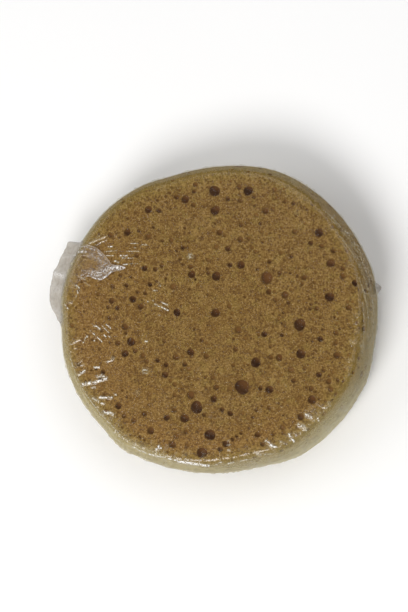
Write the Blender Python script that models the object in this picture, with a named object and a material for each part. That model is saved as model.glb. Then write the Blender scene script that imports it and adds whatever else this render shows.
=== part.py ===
"""A round slab of sea sponge, packed in clear stretch film.

It is two pieces: the sponge, which grew as one body, and the film drawn round it.
Metres, +Z up. The origin is the middle of the film's underside, on the surface that the slab lies on.
"""

import math
import random
from bisect import bisect_right

import bmesh
import bpy
from mathutils import Vector
from mathutils.geometry import delaunay_2d_cdt

MM = 0.001

# Driving dimensions
THICKNESS = 32 * MM  # of the whole pack, at the middle of the cut face
CROWN = 1.0 * MM  # how much higher the middle of the cut face is than its rim
FILM = 0.3 * MM  # wall of the film, which stands for its one to four layers
GAP = 0.3 * MM  # between the film and the sponge

# The shoulder between a face and the side is a quarter ellipse: (inwards, down or up)
TOP_SHOULDER = (5.5 * MM, 12.0 * MM)
BASE_SHOULDER = (7.0 * MM, 9.0 * MM)
MIDDLE = 14.0 * MM  # height at which the upper and lower half of each skin meet

# The pack's outline from above: bearing in degrees, counter-clockwise from +X, and radius in mm
OUTLINE = (
    (0, 61.0), (15, 61.8), (30, 61.4), (48, 61.4), (66, 60.9), (84, 58.7), (98, 57.6), (108, 57.5),
    (118, 58.7), (135, 59.8), (152, 60.1), (170, 61.0), (182, 60.1), (195, 60.8), (208, 60.8),
    (225, 60.6), (234, 61.6), (242, 60.7), (254, 59.9), (267, 59.3), (285, 58.8), (300, 60.8),
    (315, 61.0), (330, 61.3), (338, 61.5), (349, 60.6),
)

# The larger pores of the cut face, in mm: x, y and the width of the mouth
FACE_PORES = (
    (1.7, 46.6, 4.1), (2.0, 39.4, 3.6), (-9.2, 43.6, 3.2), (14.4, 46.7, 3.6), (-23.1, 39.7, 2.9),
    (-31.0, 31.2, 2.8), (20.9, 39.2, 2.7), (40.9, 31.0, 3.2), (-6.8, 15.3, 2.9), (2.4, 14.6, 3.4),
    (11.7, 18.9, 3.0), (-13.8, 10.7, 2.6), (-29.0, 6.0, 2.7), (-12.3, 1.0, 2.9), (2.1, 0.8, 3.4),
    (45.4, 19.6, 3.3), (21.4, 14.0, 4.8), (28.2, 7.6, 2.8), (45.0, 6.9, 3.5), (-31.9, -4.4, 2.6),
    (-29.6, -10.0, 3.2), (-31.8, -14.4, 2.8), (-7.2, -13.9, 2.8), (-12.7, -15.7, 2.6),
    (-16.8, -22.3, 2.6), (-7.2, -29.9, 3.2), (-5.0, -34.6, 4.7), (1.4, -31.5, 2.6), (-9.5, -38.7, 3.4),
    (-34.3, -34.1, 2.6), (-22.2, -43.4, 2.8), (0.0, -44.9, 4.1), (-14.1, -48.6, 2.8), (33.7, -3.5, 4.5),
    (10.6, -5.5, 2.8), (34.1, -14.6, 3.4), (26.0, -16.0, 2.7), (17.1, -17.8, 3.7), (47.6, -15.0, 2.6),
    (12.1, -27.0, 5.5), (22.4, -27.9, 3.0), (38.3, -31.7, 3.2), (34.1, -38.2, 2.6), (-3.0, -51.6, 4.0),
)

# Pores that the sponge has on its underside and round its side, scattered by rule
BASE_PORES = 18
SIDE_PORES = 10
SCATTER_SEED = 11
SCATTERED_WIDTH = (2.6 * MM, 4.6 * MM)
BASE_PORE_REACH = 46 * MM  # how far from the middle a pore of the underside lies at most
PORE_SPACING = 3.0 * MM  # least wall between two scattered pores

# A pore is a bubble: wider below its mouth, then closing to a round end
PORE_SIDES = 8
PORE_STEPS = ((0.45, 1.10), (0.85, 0.75))  # share of the depth, share of the mouth's radius
PORE_DEPTH = 0.9  # in widths of the mouth
MOST_PORE_DEPTH = 4.0 * MM
PORE_CLEARANCE = 0.5 * MM  # skin points keep this far from a pore's mouth

# The skins' own points
RIM_POINTS = 60
SHOULDER_STEPS = (0.0, 0.25, 0.5, 0.75, 1.0)  # along the shoulder, from the face to the side
FACE_RINGS = (0.84, 0.6, 0.3)  # shares of the face's radius

# The gathered tail of the film, a bunch of layers that stands out at the left of the rim
TAIL_BEARINGS = (149.0, 153.5, 160.0, 182.0)  # starts, full, full, gone
TAIL_REACH = 5.0 * MM
TAIL_HEIGHT = 20 * MM
TAIL_HALF_HEIGHT = 9.0 * MM
TAIL_STEP = 3.0  # degrees between the film's points there

# The twisted end of the film, a small nub at the right of the rim
NUB_BEARING = 10.0
NUB_HALF_WIDTH = 3.2  # degrees
NUB_REACH = 2.0 * MM
NUB_HEIGHT = 13 * MM
NUB_HALF_HEIGHT = 4.5 * MM
NUB_STEP = 1.6  # degrees between the film's points there

# The film's two edges meet under the slab along a lens-shaped slit
SLIT_MIDDLE = Vector((0.0, -24 * MM))
SLIT_LENGTH = 36 * MM
SLIT_WIDTH = 3.6 * MM
SLIT_POINTS = 16

# Colours in linear light
SPONGE_COLOUR = (0.253, 0.156, 0.052, 1.0)
FILM_COLOUR = (0.62, 0.60, 0.52, 0.35)


def closed_curve(table, bearing):
    """The smooth closed curve through a table of bearings and values, at one bearing."""
    bearing %= 360.0
    bearings = [b for b, _ in table]
    after = bisect_right(bearings, bearing)
    count = len(table)

    def knot(index):
        turns, place = divmod(index, count)
        return table[place][0] + 360.0 * turns, table[place][1]

    (b0, v0), (b1, v1), (b2, v2), (b3, v3) = (knot(after + step) for step in (-2, -1, 0, 1))
    span = b2 - b1
    share = (bearing - b1) / span
    slope_1 = (v2 - v0) / (b2 - b0) * span
    slope_2 = (v3 - v1) / (b3 - b1) * span
    square, cube = share**2, share**3
    return (
        (2 * cube - 3 * square + 1) * v1
        + (cube - 2 * square + share) * slope_1
        + (3 * square - 2 * cube) * v2
        + (cube - square) * slope_2
    )


def outline(bearing):
    """Radius of the pack at a bearing in degrees."""
    return closed_curve(OUTLINE, bearing) * MM


def quarter_length(inwards, down):
    """Length of a quarter ellipse, by Ramanujan's formula."""
    h = ((inwards - down) / (inwards + down)) ** 2
    return math.pi * (inwards + down) * (1 + 3 * h / (10 + math.sqrt(4 - 3 * h))) / 4


class Half:
    """The upper or lower half of a skin, laid out flat by the way travelled from its middle."""

    def __init__(self, upper):
        self.upper = upper
        self.inwards, self.rise = TOP_SHOULDER if upper else BASE_SHOULDER
        self.shoulder = quarter_length(self.inwards, self.rise)
        self.crown = CROWN if upper else 0.0
        self.face_height = THICKNESS if upper else 0.0
        towards_middle = THICKNESS - CROWN - MIDDLE if upper else MIDDLE
        self.wall = towards_middle - self.rise

    def flat_end(self, bearing):
        """Radius at which the face ends and the shoulder begins."""
        return outline(bearing) - self.inwards

    def edge(self, bearing):
        """Travel at which this half meets the other one."""
        return self.flat_end(bearing) + self.shoulder + self.wall

    def laid_out(self, bearing, travel):
        """The flat point at a bearing and a travel."""
        angle = math.radians(bearing)
        return Vector((math.cos(angle), math.sin(angle))) * travel

    def point(self, flat, inset):
        """The point in space of a flat point, on the skin that lies inset inside the film's outer face."""
        travel = flat.length
        bearing = math.degrees(math.atan2(flat.y, flat.x))
        flat_end = self.flat_end(bearing)
        inwards, rise = self.inwards - inset, self.rise - inset
        if travel <= flat_end:
            radius = travel
            fall = inset + self.crown * (travel / flat_end) ** 2
        else:
            turn = min((travel - flat_end) / self.shoulder, 1.0) * math.pi / 2
            radius = flat_end + inwards * math.sin(turn)
            fall = inset + self.crown + rise * (1 - math.cos(turn))
            fall += max(travel - flat_end - self.shoulder, 0.0)
        height = self.face_height - fall if self.upper else fall
        angle = math.radians(bearing)
        return Vector((radius * math.cos(angle), radius * math.sin(angle), height))

    def outward(self, flat, inset):
        """The unit normal there, pointing out of the slab."""
        step = 0.5 * MM
        here = self.point(flat, inset)
        along_x = self.point(flat + Vector((step, 0)), inset) - here
        along_y = self.point(flat + Vector((0, step)), inset) - here
        normal = along_x.cross(along_y).normalized()
        return normal if self.upper else -normal


def skin_points(half, bearings):
    """A skin's own flat points: along the shoulder at each bearing, and on rings of the face."""
    points = [
        half.laid_out(bearing, half.flat_end(bearing) + half.shoulder * step)
        for step in SHOULDER_STEPS
        for bearing in bearings
    ]
    for share in FACE_RINGS:
        count = round(RIM_POINTS * share)
        for index in range(count):
            bearing = 360.0 * (index + 0.5) / count
            points.append(half.laid_out(bearing, half.flat_end(bearing) * share))
    if half.upper:
        points.append(Vector((0, 0)))  # the top of the crown
    return points


def circle(middle, radius, sides):
    """A flat circle of points, counter-clockwise."""
    return [
        middle + Vector((math.cos(turn), math.sin(turn))) * radius
        for turn in (2 * math.pi * index / sides for index in range(sides))
    ]


def inside(loop, point):
    """Whether a flat point lies inside a closed loop of flat points."""
    crossings = 0
    for a, b in zip(loop, loop[1:] + loop[:1]):
        if (a.y > point.y) != (b.y > point.y):
            crossings += point.x < a.x + (point.y - a.y) / (b.y - a.y) * (b.x - a.x)
    return crossings % 2 == 1


def flat_triangles(edge, free_points, holes):
    """The flat points and triangles of a disc with holes: (points, triangles)."""
    points = list(edge)
    constraints = [(i, (i + 1) % len(edge)) for i in range(len(edge))]
    for hole in holes:
        first = len(points)
        points += hole
        constraints += [(first + i, first + (i + 1) % len(hole)) for i in range(len(hole))]
    points += free_points
    laid, _, faces, *_ = delaunay_2d_cdt(points, constraints, [], 1, 1e-9)
    kept = []
    for face in faces:
        middle = sum((laid[i] for i in face), Vector((0, 0))) / len(face)
        if not any(inside(hole, middle) for hole in holes):
            kept.append(face)
    return laid, kept


def add_skin(mesh, half, laid, faces, place, outwards=True):
    """Puts flat triangles on a skin in space. place turns a flat point into a point in space."""
    verts = [mesh.verts.new(place(half, point)) for point in laid]
    keep_turn = half.upper == outwards
    for face in faces:
        corners = [verts[i] for i in face]
        mesh.faces.new(corners if keep_turn else corners[::-1])


def add_pore(mesh, half, middle, radius, inset):
    """The hollow of one pore: rings of points that go down from its mouth, and a pointed end."""
    inwards = -half.outward(middle, inset)
    depth = min(2 * radius * PORE_DEPTH, MOST_PORE_DEPTH)
    rings = [[half.point(p, inset) for p in circle(middle, radius, PORE_SIDES)]]
    mouth = sum(rings[0], Vector()) / PORE_SIDES
    for down, width in PORE_STEPS:
        rings.append([mouth + (p - mouth) * width + inwards * depth * down for p in rings[0]])
    rings = [[mesh.verts.new(p) for p in ring] for ring in rings]
    end = mesh.verts.new(mouth + inwards * depth)
    for upper_ring, lower_ring in zip(rings, rings[1:]):
        for i in range(PORE_SIDES):
            j = (i + 1) % PORE_SIDES
            face = [upper_ring[i], upper_ring[j], lower_ring[j], lower_ring[i]]
            mesh.faces.new(face if half.upper else face[::-1])
    for i in range(PORE_SIDES):
        face = [rings[-1][i], rings[-1][(i + 1) % PORE_SIDES], end]
        mesh.faces.new(face if half.upper else face[::-1])


def clear_of(pores, point, more):
    """Whether a flat point keeps more than a distance from every pore's mouth."""
    return all((point - middle).length > radius + more for middle, radius in pores)


def scatter(half, draw, count, nearest, furthest, taken):
    """Pores at random places between two travels, none closer to another than PORE_SPACING."""
    found = []
    while len(found) < count:
        bearing = draw.uniform(0, 360)
        low, high = nearest(bearing), furthest(bearing)
        travel = math.sqrt(draw.uniform(low**2, high**2))
        radius = draw.uniform(*SCATTERED_WIDTH) / 2
        place = half.laid_out(bearing, travel)
        if clear_of(taken + found, place, radius + PORE_SPACING):
            found.append((place, radius))
    return found


def finish(name, mesh, material):
    """Makes the object of a bmesh, closed and shaded smooth."""
    bmesh.ops.remove_doubles(mesh, verts=mesh.verts, dist=0.001 * MM)
    bmesh.ops.triangulate(mesh, faces=mesh.faces)
    data = bpy.data.meshes.new(name)
    mesh.to_mesh(data)
    mesh.free()
    data.shade_smooth()
    data.set_sharp_from_angle(angle=math.radians(40))
    data.materials.append(material)
    made = bpy.data.objects.new(name, data)
    bpy.context.scene.collection.objects.link(made)
    return made


def finish_of(name, colour, roughness, alpha=1.0):
    """A plain material with a colour and a roughness."""
    material = bpy.data.materials.new(name)
    material.use_nodes = True
    shader = material.node_tree.nodes["Principled BSDF"]
    shader.inputs["Base Color"].default_value = colour[:3] + (1.0,)
    shader.inputs["Roughness"].default_value = roughness
    shader.inputs["Metallic"].default_value = 0.0
    shader.inputs["Alpha"].default_value = alpha
    return material


def make_sponge():
    """The sponge: two halves of one skin, open at its larger pores."""
    inset = FILM + GAP
    draw = random.Random(SCATTER_SEED)
    upper, lower = Half(True), Half(False)
    face_pores = [(Vector((x, y)) * MM, width / 2 * MM) for x, y, width in FACE_PORES]
    side_pores = scatter(
        upper,
        draw,
        SIDE_PORES,
        lambda bearing: upper.flat_end(bearing) + upper.shoulder * 0.75,
        lambda bearing: upper.edge(bearing) - SCATTERED_WIDTH[1],
        face_pores,
    )
    base_pores = scatter(lower, draw, BASE_PORES, lambda _: 0.0, lambda _: BASE_PORE_REACH, [])
    bearings = [360.0 * index / RIM_POINTS for index in range(RIM_POINTS)]
    mesh = bmesh.new()
    for half, pores in ((upper, face_pores + side_pores), (lower, base_pores)):
        edge = [half.laid_out(bearing, half.edge(bearing)) for bearing in bearings]
        free = [p for p in skin_points(half, bearings) if clear_of(pores, p, PORE_CLEARANCE)]
        mouths = [circle(middle, radius, PORE_SIDES) for middle, radius in pores]
        laid, faces = flat_triangles(edge, free, mouths)
        add_skin(mesh, half, laid, faces, lambda h, point: h.point(point, inset))
        for middle, radius in pores:
            add_pore(mesh, half, middle, radius, inset)
    return finish("sponge", mesh, finish_of("sponge_fibre", SPONGE_COLOUR, 0.9))


def bell(distance, half_width):
    """1 at the middle, falling smoothly to 0 at half_width."""
    share = min(abs(distance) / half_width, 1.0)
    return (1 - share**2) ** 2


def smooth_step(low, high, value):
    share = min(max((value - low) / (high - low), 0.0), 1.0)
    return share * share * (3 - 2 * share)


def gathered(bearing, height):
    """How far the bunched film stands out at a bearing and a height."""
    bearing %= 360.0
    start, full, still_full, gone = TAIL_BEARINGS
    tail = smooth_step(start, full, bearing) * (1 - smooth_step(still_full, gone, bearing))
    tail *= bell(height - TAIL_HEIGHT, TAIL_HALF_HEIGHT) * TAIL_REACH
    nub = bell(bearing - NUB_BEARING, NUB_HALF_WIDTH)
    nub *= bell(height - NUB_HEIGHT, NUB_HALF_HEIGHT) * NUB_REACH
    return tail + nub


def outer_film(half, flat):
    """A point of the film's outer face, with the bunched film standing out from it."""
    point = half.point(flat, 0.0)
    level = Vector((point.x, point.y, 0.0))
    if level.length < half.inwards:
        return point
    bearing = math.degrees(math.atan2(point.y, point.x))
    return point + level.normalized() * gathered(bearing, point.z)


def bulge_bearings():
    """Bearings across the tail and across the nub, close together."""
    start, *_, gone = TAIL_BEARINGS
    bearings = []
    for low, high, step in (
        (start - TAIL_STEP, gone + TAIL_STEP, TAIL_STEP),
        (NUB_BEARING - NUB_HALF_WIDTH, NUB_BEARING + NUB_HALF_WIDTH, NUB_STEP),
    ):
        count = round((high - low) / step)
        bearings.append([low + (high - low) * index / count for index in range(count + 1)])
    return bearings


def film_bearings(bulges):
    """Bearings of all the film's points: the bulges' own, and even ones between them."""
    step = 360.0 / RIM_POINTS
    even = [step * index for index in range(RIM_POINTS)]
    apart = [b for b in even if not any(run[0] - step / 2 < b < run[-1] + step / 2 for run in bulges)]
    return sorted(sum(bulges, apart))


def make_film():
    """The film: an outer and an inner skin, joined along the slit under the slab."""
    bulges = bulge_bearings()
    bearings = film_bearings(bulges)
    lens = []
    for index in range(SLIT_POINTS):
        turn = 2 * math.pi * index / SLIT_POINTS
        lens.append(SLIT_MIDDLE + Vector((math.cos(turn) * SLIT_LENGTH, math.sin(turn) * SLIT_WIDTH)) / 2)
    mesh = bmesh.new()
    for upper in (True, False):
        half = Half(upper)
        holes = [] if upper else [lens]
        edge = [half.laid_out(bearing, half.edge(bearing)) for bearing in bearings]
        free = skin_points(half, bearings)
        for bearing in sum(bulges, []):
            free.append(half.laid_out(bearing, half.edge(bearing) - half.wall / 2))
        laid, faces = flat_triangles(edge, free, holes)
        add_skin(mesh, half, laid, faces, outer_film)
        add_skin(mesh, half, laid, faces, lambda h, point: h.point(point, FILM), outwards=False)
    half = Half(False)
    outer_lip = [mesh.verts.new(outer_film(half, point)) for point in lens]
    inner_lip = [mesh.verts.new(half.point(point, FILM)) for point in lens]
    for i in range(SLIT_POINTS):
        j = (i + 1) % SLIT_POINTS
        mesh.faces.new([outer_lip[j], outer_lip[i], inner_lip[i], inner_lip[j]])
    return finish("film_wrap", mesh, finish_of("clear_film", FILM_COLOUR, 0.12, FILM_COLOUR[3]))


def main():
    for old in list(bpy.data.objects):
        bpy.data.objects.remove(old)
    make_sponge()
    make_film()


main()
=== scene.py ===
# %% [markdown]
# # A slab of sea sponge in clear stretch film
#
# The object is a round slab cut from a fine sea sponge, about 122 mm across and 32 mm thick, with
# round bubble-like pores, drawn tight into clear stretch film. This notebook dresses its plain
# solid model: it makes the sponge's open pores and crumb, the film with its folds, and a finish
# for each. The solid model is the fixed frame, so it is loaded first and never moved.

# %% Load the solid model as the fixed frame
import math
import random

import bpy
import numpy as np
from mathutils import Matrix, Vector, noise
from mathutils.geometry import delaunay_2d_cdt


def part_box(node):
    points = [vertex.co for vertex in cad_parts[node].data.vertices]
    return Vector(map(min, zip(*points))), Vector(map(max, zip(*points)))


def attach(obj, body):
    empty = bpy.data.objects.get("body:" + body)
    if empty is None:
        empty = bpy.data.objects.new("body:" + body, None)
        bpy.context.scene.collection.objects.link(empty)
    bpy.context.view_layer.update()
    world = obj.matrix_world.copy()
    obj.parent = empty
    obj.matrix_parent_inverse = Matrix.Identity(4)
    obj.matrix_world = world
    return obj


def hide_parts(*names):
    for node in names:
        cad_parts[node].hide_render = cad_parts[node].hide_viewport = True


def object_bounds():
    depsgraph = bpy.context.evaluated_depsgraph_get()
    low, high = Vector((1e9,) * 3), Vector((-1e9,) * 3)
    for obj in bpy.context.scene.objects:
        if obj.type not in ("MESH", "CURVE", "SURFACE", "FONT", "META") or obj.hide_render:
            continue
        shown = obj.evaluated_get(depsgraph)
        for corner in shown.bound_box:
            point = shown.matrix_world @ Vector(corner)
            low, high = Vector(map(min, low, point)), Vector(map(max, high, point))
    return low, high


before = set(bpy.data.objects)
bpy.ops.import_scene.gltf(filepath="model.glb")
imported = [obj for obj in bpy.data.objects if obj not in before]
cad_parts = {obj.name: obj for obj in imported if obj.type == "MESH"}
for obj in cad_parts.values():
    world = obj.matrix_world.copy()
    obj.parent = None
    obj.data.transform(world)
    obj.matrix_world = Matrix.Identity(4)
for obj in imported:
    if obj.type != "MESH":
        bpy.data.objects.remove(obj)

MM = 0.001
cad_box = [list(corner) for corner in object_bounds()]
print("solid model, mm:", [[round(x / MM, 1) for x in corner] for corner in cad_box])

# %% [markdown]
# The photograph looks down on the slab from a little to the right and a little below. A long lens
# keeps the round outline round, as the photograph has it. The camera comes first, because all the
# places that are read from the photograph are set against it: one pixel there is 0.375 mm.

# %% The camera
PHOTO_SIZE = (408, 612)
MM_PER_PIXEL = 0.375
FACE_MIDDLE_PIXEL = (209.5, 315)
LEAN_RIGHT = math.radians(11)
LEAN_DOWN = math.radians(5)
DISTANCE = 0.9
SENSOR = 36.0


def add_object(name, data):
    made = bpy.data.objects.new(name, data)
    bpy.context.scene.collection.objects.link(made)
    return made


face_middle = Vector((0, 0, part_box("sponge")[1].z))
back = Vector((math.tan(LEAN_RIGHT), -math.tan(LEAN_DOWN), 1)).normalized()
right = Vector((0, 1, 0)).cross(back).normalized()
up = back.cross(right)
off_x = (PHOTO_SIZE[0] / 2 - FACE_MIDDLE_PIXEL[0]) * MM_PER_PIXEL * MM
off_y = (FACE_MIDDLE_PIXEL[1] - PHOTO_SIZE[1] / 2) * MM_PER_PIXEL * MM
target = face_middle + right * off_x + up * off_y

camera_data = bpy.data.cameras.new("camera")
camera_data.sensor_width = SENSOR
camera_data.lens = SENSOR * DISTANCE / (PHOTO_SIZE[1] * MM_PER_PIXEL * MM)
camera = add_object("camera", camera_data)
camera.location = target + back * DISTANCE
camera.rotation_mode = "QUATERNION"
camera.rotation_quaternion = Matrix((right, up, back)).transposed().to_quaternion()
bpy.context.scene.camera = camera
print("lens, mm:", round(camera_data.lens, 1))

# %% [markdown]
# The slab's form is a section turned round a bent outline: a slightly crowned face, a shoulder in
# the form of a quarter ellipse, an upright side, and a rounder shoulder below. Both the sponge and
# the film lie on that form, at their own depth inside the film's outer face. A subdivided cylinder
# could be pushed to it, but pores need edges of their own, so the form is written as a function
# instead: it takes a point of a flat disc, laid out by the way travelled from the middle, and gives
# the point in space. Anything can then be drawn on the flat disc and lifted onto the slab.

# %% The slab's form
THICKNESS = cad_box[1][2]
CROWN = 1.0 * MM
TOP_SHOULDER = (5.5 * MM, 12.0 * MM)
BASE_SHOULDER = (7.0 * MM, 9.0 * MM)
MIDDLE = 14.0 * MM

# bearing in degrees, counter-clockwise from +X, and radius in mm
OUTLINE = (
    (0, 61.0), (15, 61.8), (30, 61.4), (48, 61.4), (66, 60.9), (84, 58.7), (98, 57.6), (108, 57.5),
    (118, 58.7), (135, 59.8), (152, 60.1), (170, 61.0), (182, 60.1), (195, 60.8), (208, 60.8),
    (225, 60.6), (234, 61.6), (242, 60.7), (254, 59.9), (267, 59.3), (285, 58.8), (300, 60.8),
    (315, 61.0), (330, 61.3), (338, 61.5), (349, 60.6),
)


def closed_curve(table, bearing):
    """The smooth closed curve through (bearing, value) knots, for an array of bearings."""
    knots = np.array(table, float)
    count = len(knots)
    bearing = np.mod(bearing, 360.0)
    after = np.searchsorted(knots[:, 0], bearing, side="right")

    def knot(step):
        turns, place = np.divmod(after + step, count)
        return knots[place, 0] + 360.0 * turns, knots[place, 1]

    (b0, v0), (b1, v1), (b2, v2), (b3, v3) = (knot(step) for step in (-2, -1, 0, 1))
    share = (bearing - b1) / (b2 - b1)
    slope_1 = (v2 - v0) / (b2 - b0) * (b2 - b1)
    slope_2 = (v3 - v1) / (b3 - b1) * (b2 - b1)
    square, cube = share**2, share**3
    ends = (2 * cube - 3 * square + 1) * v1 + (3 * square - 2 * cube) * v2
    return ends + (cube - 2 * square + share) * slope_1 + (cube - square) * slope_2


def quarter_length(inwards, down):
    h = ((inwards - down) / (inwards + down)) ** 2
    return math.pi * (inwards + down) * (1 + 3 * h / (10 + math.sqrt(4 - 3 * h))) / 4


def bearings_of(flat):
    return np.degrees(np.arctan2(flat[:, 1], flat[:, 0]))


class Half:
    """The upper or lower half of the slab's skins, as a function of a flat disc."""

    def __init__(self, upper):
        self.upper = upper
        self.inwards, self.rise = TOP_SHOULDER if upper else BASE_SHOULDER
        self.shoulder = quarter_length(self.inwards, self.rise)
        self.crown = CROWN if upper else 0.0
        self.wall = (THICKNESS - CROWN - MIDDLE if upper else MIDDLE) - self.rise

    def flat_end(self, bearing):
        return closed_curve(OUTLINE, bearing) * MM - self.inwards

    def edge(self, bearing):
        return self.flat_end(bearing) + self.shoulder + self.wall

    def laid_out(self, bearing, travel):
        angle = np.radians(bearing)
        return np.stack([np.cos(angle) * travel, np.sin(angle) * travel], -1)

    def beyond(self, bearing, past):
        """Flat points at bearings and at ways past the face's edge."""
        return self.laid_out(bearing, self.flat_end(bearing) + past)

    def past_edge(self, flat):
        """How far each flat point lies past the face's edge, in metres."""
        return np.hypot(flat[:, 0], flat[:, 1]) - self.flat_end(bearings_of(flat))

    def as_seen(self, places):
        """Flat points of places read from the photograph, in mm from the face's middle."""
        places = np.atleast_2d(np.array(places, float)) * MM
        eye = np.array(camera.location)
        way = np.array(face_middle) + places @ np.array([right, up]) - eye
        height = np.full(len(places), THICKNESS)
        for _ in range(10):
            there = eye + way * ((height - eye[2]) / way[:, 2])[:, None]
            bearing = bearings_of(there)
            reach = np.hypot(there[:, 0], there[:, 1])
            flat_end = self.flat_end(bearing)
            turn = np.arcsin(np.clip((reach - flat_end) / self.inwards, 0, 1)) / (math.pi / 2)
            flat = self.laid_out(bearing, np.minimum(reach, flat_end) + turn * self.shoulder)
            height = (height + self.point(flat, 0.0)[:, 2]) / 2
        return flat

    def point(self, flat, inset):
        """The points in space, inset (one depth, or one each) inside the film's outer face."""
        travel = np.hypot(flat[:, 0], flat[:, 1])
        angle = np.arctan2(flat[:, 1], flat[:, 0])
        flat_end = self.flat_end(np.degrees(angle))
        turn = np.clip((travel - flat_end) / self.shoulder, 0, 1) * math.pi / 2
        radius = np.minimum(travel, flat_end) + (self.inwards - inset) * np.sin(turn)
        fall = inset + self.crown * np.clip(travel / flat_end, 0, 1) ** 2
        fall = fall + (self.rise - inset) * (1 - np.cos(turn))
        fall = fall + np.maximum(travel - flat_end - self.shoulder, 0)
        height = THICKNESS - fall if self.upper else fall
        return np.stack([radius * np.cos(angle), radius * np.sin(angle), height], -1)

    def outward(self, flat, inset):
        """Unit normals there, pointing out of the slab."""
        step = 0.2 * MM
        here = self.point(flat, inset)
        along_x = self.point(flat + [step, 0], inset) - here
        along_y = self.point(flat + [0, step], inset) - here
        normal = np.cross(along_x, along_y) * (1 if self.upper else -1)
        return normal / np.linalg.norm(normal, axis=1, keepdims=True)


upper_half, lower_half = Half(True), Half(False)
print("face radius, mm:", np.round(upper_half.flat_end(np.array([0.0, 90.0, 180.0, 270.0])) / MM, 1))
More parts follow.
